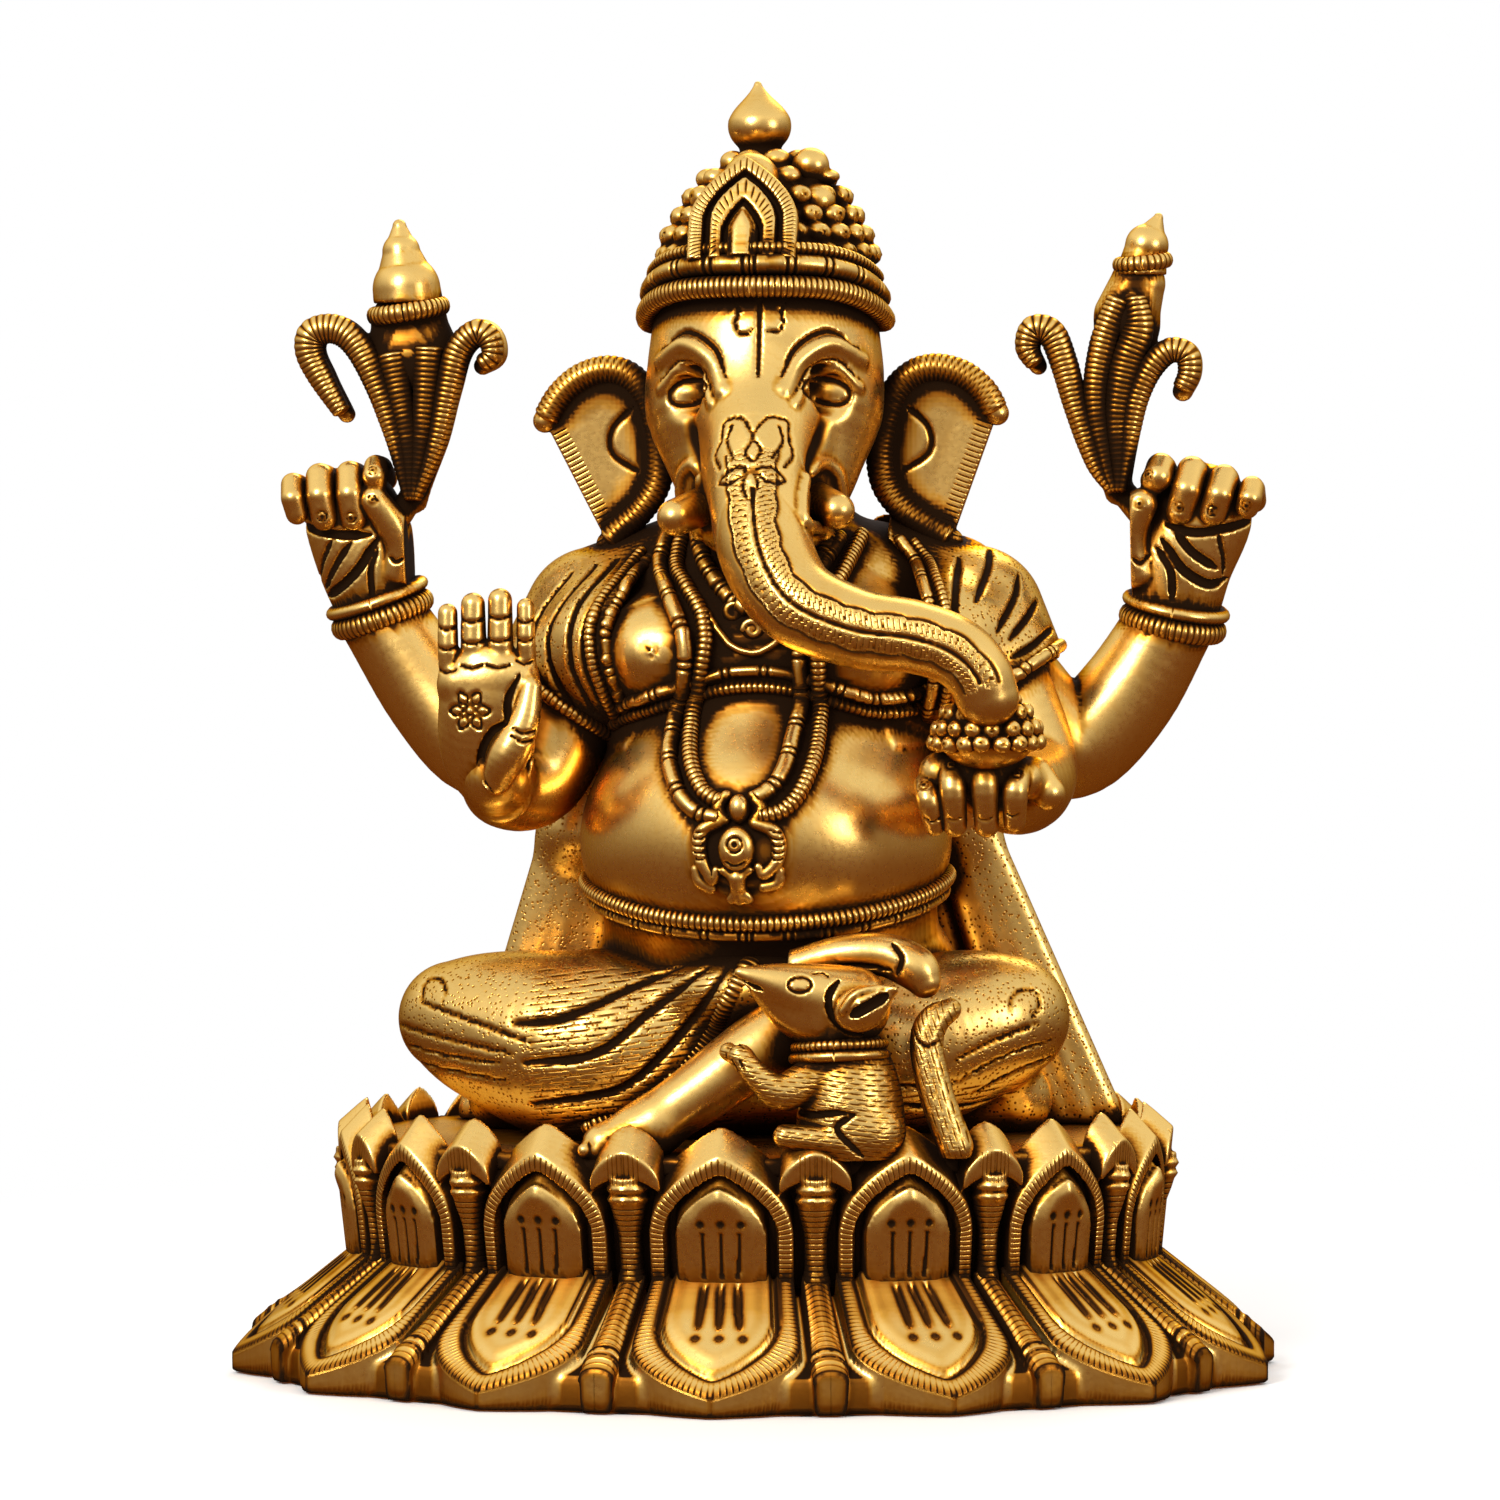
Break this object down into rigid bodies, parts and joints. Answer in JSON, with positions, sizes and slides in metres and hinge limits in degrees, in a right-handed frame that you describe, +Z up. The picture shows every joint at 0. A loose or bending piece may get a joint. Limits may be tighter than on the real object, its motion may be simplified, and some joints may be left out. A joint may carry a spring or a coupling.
{
  "type": "ganesha idol",
  "caption": "Brass seated Ganesha with four arms, a crown, a trunk swept to a bowl of sweets and a mouse in front, on a double lotus base.",
  "frame": {"origin": "middle of the footprint of the base, on the plane it stands on", "axes": "+Z up, the figure faces -Y, its own right hand is on the -X side"},
  "size_m": [0.2478, 0.166, 0.305],
  "materials": {
    "polished_brass": "polished high points with dark brown patina in the hollows",
    "chased_brass": "chased lines and stippling over aged brass",
    "ribbed_brass": "ribbed and segmented bands, bright on top and dark between",
    "lotus_brass": "polished petal faces with dark engraved grooves",
    "fixings": "zinc plated"
  },
  "bodies": {
    "root": {"blessing_arm": "polished_brass", "blessing_hand": "polished_brass", "crown_dome": "chased_brass", "crown_finial": "polished_brass", "crown_knobs": "ribbed_brass", "crown_lower_band": "ribbed_brass", "crown_plaque": "ribbed_brass", "crown_upper_band": "ribbed_brass", "dhoti_hem": "ribbed_brass", "figure_bolts": "fixings", "figure_washers": "fixings", "head": "polished_brass", "left_back_drape": "chased_brass", "left_bracelet": "ribbed_brass", "left_cape": "chased_brass", "left_cone_tip": "polished_brass", "left_ear": "polished_brass", "left_leaf_bundle": "chased_brass", "left_leaf_collar": "ribbed_brass", "left_raised_arm": "polished_brass", "left_raised_fist": "polished_brass", "left_shin": "polished_brass", "left_thigh": "chased_brass", "left_tusk": "polished_brass", "long_necklace_inner": "ribbed_brass", "long_necklace_outer": "ribbed_brass", "lotus_cup": "lotus_brass", "lotus_skirt": "lotus_brass", "lower_belt": "ribbed_brass", "lower_chest_band": "ribbed_brass", "mouse_body": "chased_brass", "mouse_collar": "ribbed_brass", "mouse_ear": "polished_brass", "mouse_head": "polished_brass", "mouse_tail": "chased_brass", "pendant": "ribbed_brass", "right_back_drape": "chased_brass", "right_bracelet": "ribbed_brass", "right_cape": "chased_brass", "right_cone_tip": "polished_brass", "right_ear": "polished_brass", "right_leaf_bundle": "chased_brass", "right_leaf_collar": "ribbed_brass", "right_raised_arm": "polished_brass", "right_raised_fist": "polished_brass", "right_thigh": "chased_brass", "right_tusk": "polished_brass", "sash_end": "chased_brass", "short_necklace": "ribbed_brass", "sweet_arm": "polished_brass", "sweet_hand": "polished_brass", "sweets": "chased_brass", "torso": "polished_brass", "trunk": "polished_brass", "upper_belt": "ribbed_brass", "upper_chest_band": "ribbed_brass"}
  },
  "joints": []
}
